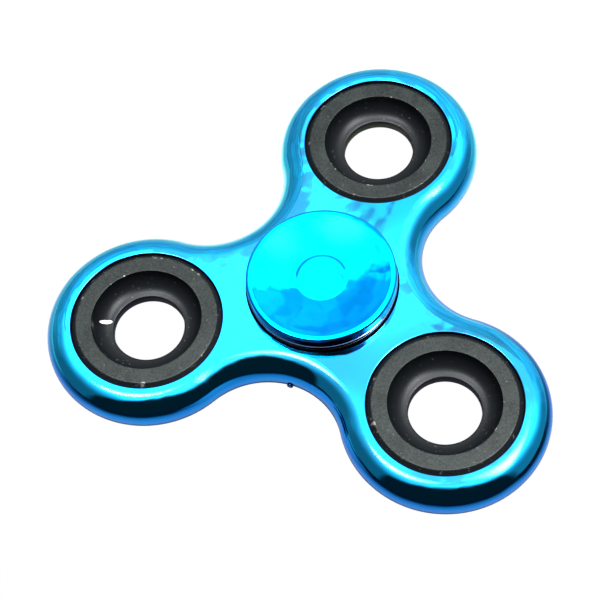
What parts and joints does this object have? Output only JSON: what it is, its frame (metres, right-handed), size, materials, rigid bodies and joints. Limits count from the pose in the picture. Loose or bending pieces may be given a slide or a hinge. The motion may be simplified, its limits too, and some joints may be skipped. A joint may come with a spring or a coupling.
{
  "type": "fidget spinner",
  "caption": "Palm-size blue chrome spinner: rounded lobes with dark ring weights turn on a ball bearing held between two dished finger caps.",
  "frame": {"origin": "centre of the bearing, on the spin axis, halfway through the thickness of the body", "axes": "+Z along the spin axis and out of the top finger cap; +Y towards the first lobe; the other two lobes follow at a third of a turn each"},
  "size_m": [0.075, 0.0689, 0.0124],
  "materials": {
    "blue_chrome": "polished",
    "black_steel": "satin",
    "race_steel": "polished",
    "ball_steel": "polished",
    "sheet_steel": "satin"
  },
  "bodies": {
    "finger_caps": {"top_cap": "blue_chrome", "bottom_cap": "blue_chrome", "inner_race": "race_steel"},
    "spinner": {"spinner_body": "blue_chrome", "weight_ring_1": "black_steel", "weight_ring_2": "black_steel", "weight_ring_3": "black_steel", "outer_race": "race_steel", "shield_top": "sheet_steel", "shield_bottom": "sheet_steel"},
    "cage": {"cage_upper": "sheet_steel", "cage_lower": "sheet_steel", "cage_rivet_1": "sheet_steel", "cage_rivet_2": "sheet_steel", "cage_rivet_3": "sheet_steel", "cage_rivet_4": "sheet_steel", "cage_rivet_5": "sheet_steel", "cage_rivet_6": "sheet_steel", "cage_rivet_7": "sheet_steel"},
    "ball_1_body": {"ball_1": "ball_steel"},
    "ball_2_body": {"ball_2": "ball_steel"},
    "ball_3_body": {"ball_3": "ball_steel"},
    "ball_4_body": {"ball_4": "ball_steel"},
    "ball_5_body": {"ball_5": "ball_steel"},
    "ball_6_body": {"ball_6": "ball_steel"},
    "ball_7_body": {"ball_7": "ball_steel"}
  },
  "joints": [
    {"name": "body_spin", "type": "hinge", "parent": "finger_caps", "child": "spinner", "pos_m": [0, 0, 0], "axis": [0, 0, 1], "continuous": true},
    {"name": "cage_spin", "type": "hinge", "parent": "finger_caps", "child": "cage", "pos_m": [0, 0, 0], "axis": [0, 0, 1], "continuous": true},
    {"name": "ball_1_spin", "type": "hinge", "parent": "cage", "child": "ball_1_body", "pos_m": [0.0075, 0, 0], "axis": [0, 0, 1], "continuous": true},
    {"name": "ball_2_spin", "type": "hinge", "parent": "cage", "child": "ball_2_body", "pos_m": [0.00468, 0.00586, 0], "axis": [0, 0, 1], "continuous": true},
    {"name": "ball_3_spin", "type": "hinge", "parent": "cage", "child": "ball_3_body", "pos_m": [-0.00167, 0.00731, 0], "axis": [0, 0, 1], "continuous": true},
    {"name": "ball_4_spin", "type": "hinge", "parent": "cage", "child": "ball_4_body", "pos_m": [-0.00676, 0.00325, 0], "axis": [0, 0, 1], "continuous": true},
    {"name": "ball_5_spin", "type": "hinge", "parent": "cage", "child": "ball_5_body", "pos_m": [-0.00676, -0.00325, 0], "axis": [0, 0, 1], "continuous": true},
    {"name": "ball_6_spin", "type": "hinge", "parent": "cage", "child": "ball_6_body", "pos_m": [-0.00167, -0.00731, 0], "axis": [0, 0, 1], "continuous": true},
    {"name": "ball_7_spin", "type": "hinge", "parent": "cage", "child": "ball_7_body", "pos_m": [0.00468, -0.00586, 0], "axis": [0, 0, 1], "continuous": true}
  ],
  "couplings": [
    {"joint": "cage_spin", "follows": "body_spin", "ratio": 0.6323},
    {"joint": "ball_1_spin", "follows": "body_spin", "ratio": 1.758},
    {"joint": "ball_2_spin", "follows": "body_spin", "ratio": 1.758},
    {"joint": "ball_3_spin", "follows": "body_spin", "ratio": 1.758},
    {"joint": "ball_4_spin", "follows": "body_spin", "ratio": 1.758},
    {"joint": "ball_5_spin", "follows": "body_spin", "ratio": 1.758},
    {"joint": "ball_6_spin", "follows": "body_spin", "ratio": 1.758},
    {"joint": "ball_7_spin", "follows": "body_spin", "ratio": 1.758}
  ]
}
